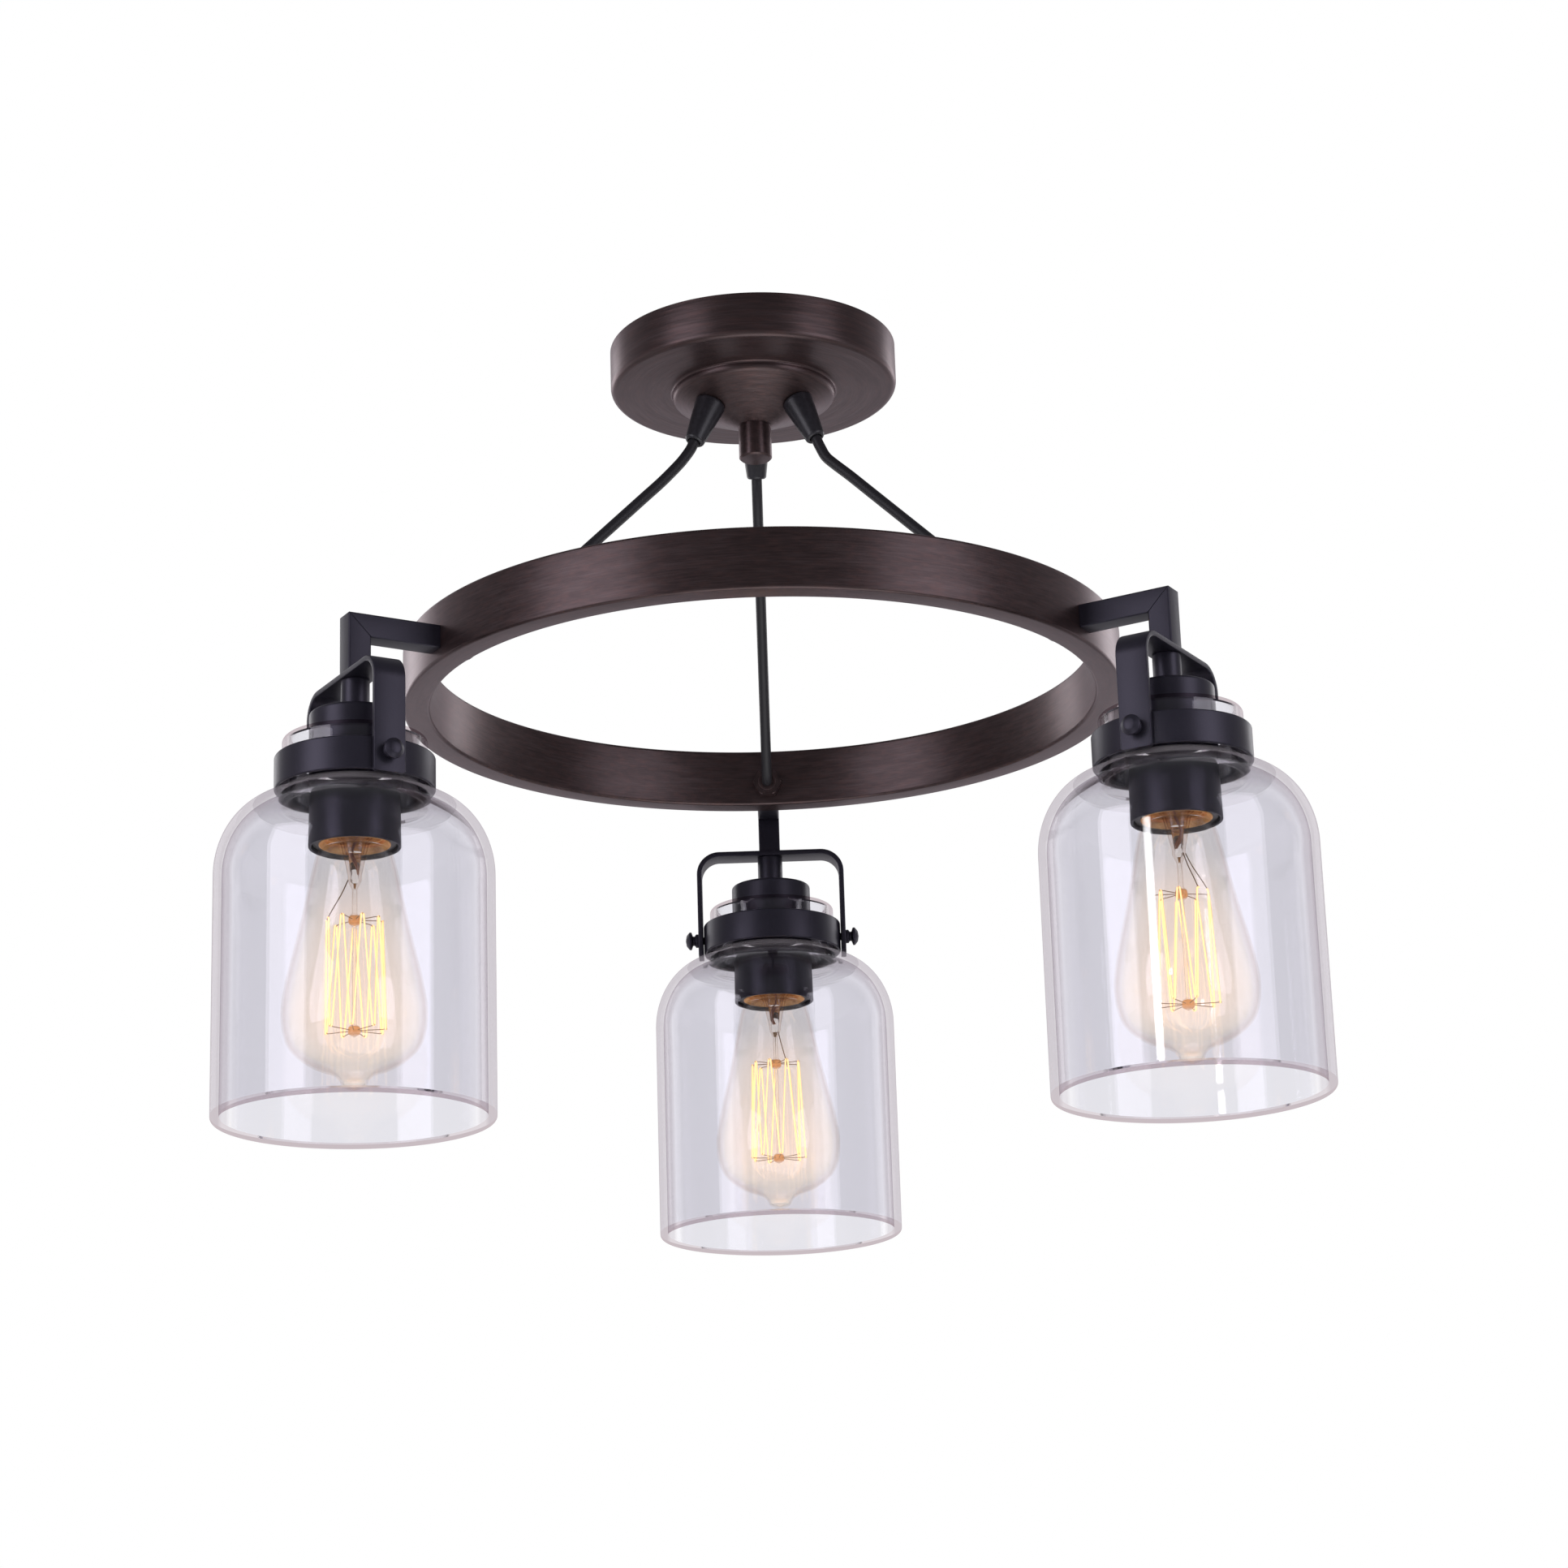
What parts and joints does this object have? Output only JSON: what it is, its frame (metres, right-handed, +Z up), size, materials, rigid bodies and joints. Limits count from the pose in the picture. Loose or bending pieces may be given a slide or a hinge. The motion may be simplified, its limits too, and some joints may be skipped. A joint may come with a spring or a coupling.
{
  "type": "semi-flush ceiling light",
  "caption": "Semi-flush ceiling light: a round canopy carries, on slanted cords, a flat ring whose arms hold jar-shaped clear glass shades with filament bulbs.",
  "frame": {"origin": "centre of the canopy's open rim, in the plane of the ceiling, which is also the centre of the mounting bar's slot pattern", "axes": "+Z up into the ceiling; +Y towards the light that the picture shows farthest away; +X along the mounting bar"},
  "size_m": [0.49, 0.4448, 0.4023],
  "materials": {
    "bronze": "dark oil-rubbed bronze, finely brushed round the axis, satin",
    "satin_black": "satin black powder coat with a bluish sheen",
    "grip_plastic": "satin black",
    "cord_rubber": "smooth, satin, black",
    "zinc_steel": "zinc plated",
    "green_steel": "green plated grounding screw",
    "connector_plastic": "yellow, smooth",
    "wire_insulation": "plain insulation",
    "holder_plastic": "dark moulded phenolic",
    "brass": "rolled brass, satin",
    "clear_glass": "clear, polished, very faint lilac tint",
    "amber_glass": "clear with a faint amber tint",
    "filament_wire": "glowing warm wire"
  },
  "bodies": {
    "canopy_group": {"canopy": "bronze", "mounting_bar": "zinc_steel", "center_stud": "zinc_steel", "stud_locknut": "zinc_steel", "ground_screw": "green_steel", "cord_grips": "grip_plastic", "grip_locknuts": "zinc_steel", "cord_1": "cord_rubber", "cord_2": "cord_rubber", "cord_3": "cord_rubber", "wire_connectors": "connector_plastic", "splice_wires": "wire_insulation"},
    "finial": {"finial": "bronze"},
    "ring_group": {"ring": "bronze", "hollow_bolts": "bronze", "arm_1": "satin_black", "arm_2": "satin_black", "arm_3": "satin_black", "arm_plugs": "zinc_steel", "arm_leads": "wire_insulation", "lamp_nipples": "zinc_steel", "bail_1": "satin_black", "bail_2": "satin_black", "bail_3": "satin_black", "couplings": "satin_black", "socket_cup_1": "satin_black", "socket_cup_2": "satin_black", "socket_cup_3": "satin_black", "cup_locknuts": "zinc_steel", "lampholder_1": "holder_plastic", "lampholder_2": "holder_plastic", "lampholder_3": "holder_plastic", "screw_shells": "brass", "center_contacts": "brass", "neck_band_1": "satin_black", "neck_band_2": "satin_black", "neck_band_3": "satin_black", "glass_shade_1": "clear_glass", "glass_shade_2": "clear_glass", "glass_shade_3": "clear_glass"},
    "thumbscrew_1a": {"thumbscrew_1a": "satin_black"},
    "thumbscrew_1b": {"thumbscrew_1b": "satin_black"},
    "bulb_1": {"bulb_glass_1": "amber_glass", "bulb_cap_1": "brass", "filament_1": "filament_wire"},
    "thumbscrew_2a": {"thumbscrew_2a": "satin_black"},
    "thumbscrew_2b": {"thumbscrew_2b": "satin_black"},
    "bulb_2": {"bulb_glass_2": "amber_glass", "bulb_cap_2": "brass", "filament_2": "filament_wire"},
    "thumbscrew_3a": {"thumbscrew_3a": "satin_black"},
    "thumbscrew_3b": {"thumbscrew_3b": "satin_black"},
    "bulb_3": {"bulb_glass_3": "amber_glass", "bulb_cap_3": "brass", "filament_3": "filament_wire"}
  },
  "joints": [
    {"name": "finial_turn", "type": "hinge", "parent": "canopy_group", "child": "finial", "pos_m": [0, 0, -0.05], "axis": [0, 0, 1], "continuous": true},
    {"name": "ring_twist", "type": "hinge", "parent": "canopy_group", "child": "ring_group", "pos_m": [0, 0, -0.17], "axis": [0, 0, 1], "range_deg": [-10, 10], "stiffness_Nm_per_rad": 1.8, "deforming": ["cord_1", "cord_2", "cord_3"]},
    {"name": "thumbscrew_1a_turn", "type": "hinge", "parent": "ring_group", "child": "thumbscrew_1a", "pos_m": [-0.0388, 0.211, -0.2445], "axis": [-1, 0, 0], "continuous": true},
    {"name": "thumbscrew_1b_turn", "type": "hinge", "parent": "ring_group", "child": "thumbscrew_1b", "pos_m": [0.0388, 0.211, -0.2445], "axis": [1, 0, 0], "continuous": true},
    {"name": "bulb_1_out", "type": "slide", "parent": "ring_group", "child": "bulb_1", "axis": [0, 0, -1], "range_m": [0, 0.16]},
    {"name": "thumbscrew_2a_turn", "type": "hinge", "parent": "ring_group", "child": "thumbscrew_2a", "pos_m": [-0.16333, -0.1391, -0.2445], "axis": [0.5, -0.866, 0], "continuous": true},
    {"name": "thumbscrew_2b_turn", "type": "hinge", "parent": "ring_group", "child": "thumbscrew_2b", "pos_m": [-0.20213, -0.0719, -0.2445], "axis": [-0.5, 0.866, 0], "continuous": true},
    {"name": "bulb_2_out", "type": "slide", "parent": "ring_group", "child": "bulb_2", "axis": [0, 0, -1], "range_m": [0, 0.16]},
    {"name": "thumbscrew_3a_turn", "type": "hinge", "parent": "ring_group", "child": "thumbscrew_3a", "pos_m": [0.20213, -0.0719, -0.2445], "axis": [0.5, 0.866, 0], "continuous": true},
    {"name": "thumbscrew_3b_turn", "type": "hinge", "parent": "ring_group", "child": "thumbscrew_3b", "pos_m": [0.16333, -0.1391, -0.2445], "axis": [-0.5, -0.866, 0], "continuous": true},
    {"name": "bulb_3_out", "type": "slide", "parent": "ring_group", "child": "bulb_3", "axis": [0, 0, -1], "range_m": [0, 0.16]}
  ]
}
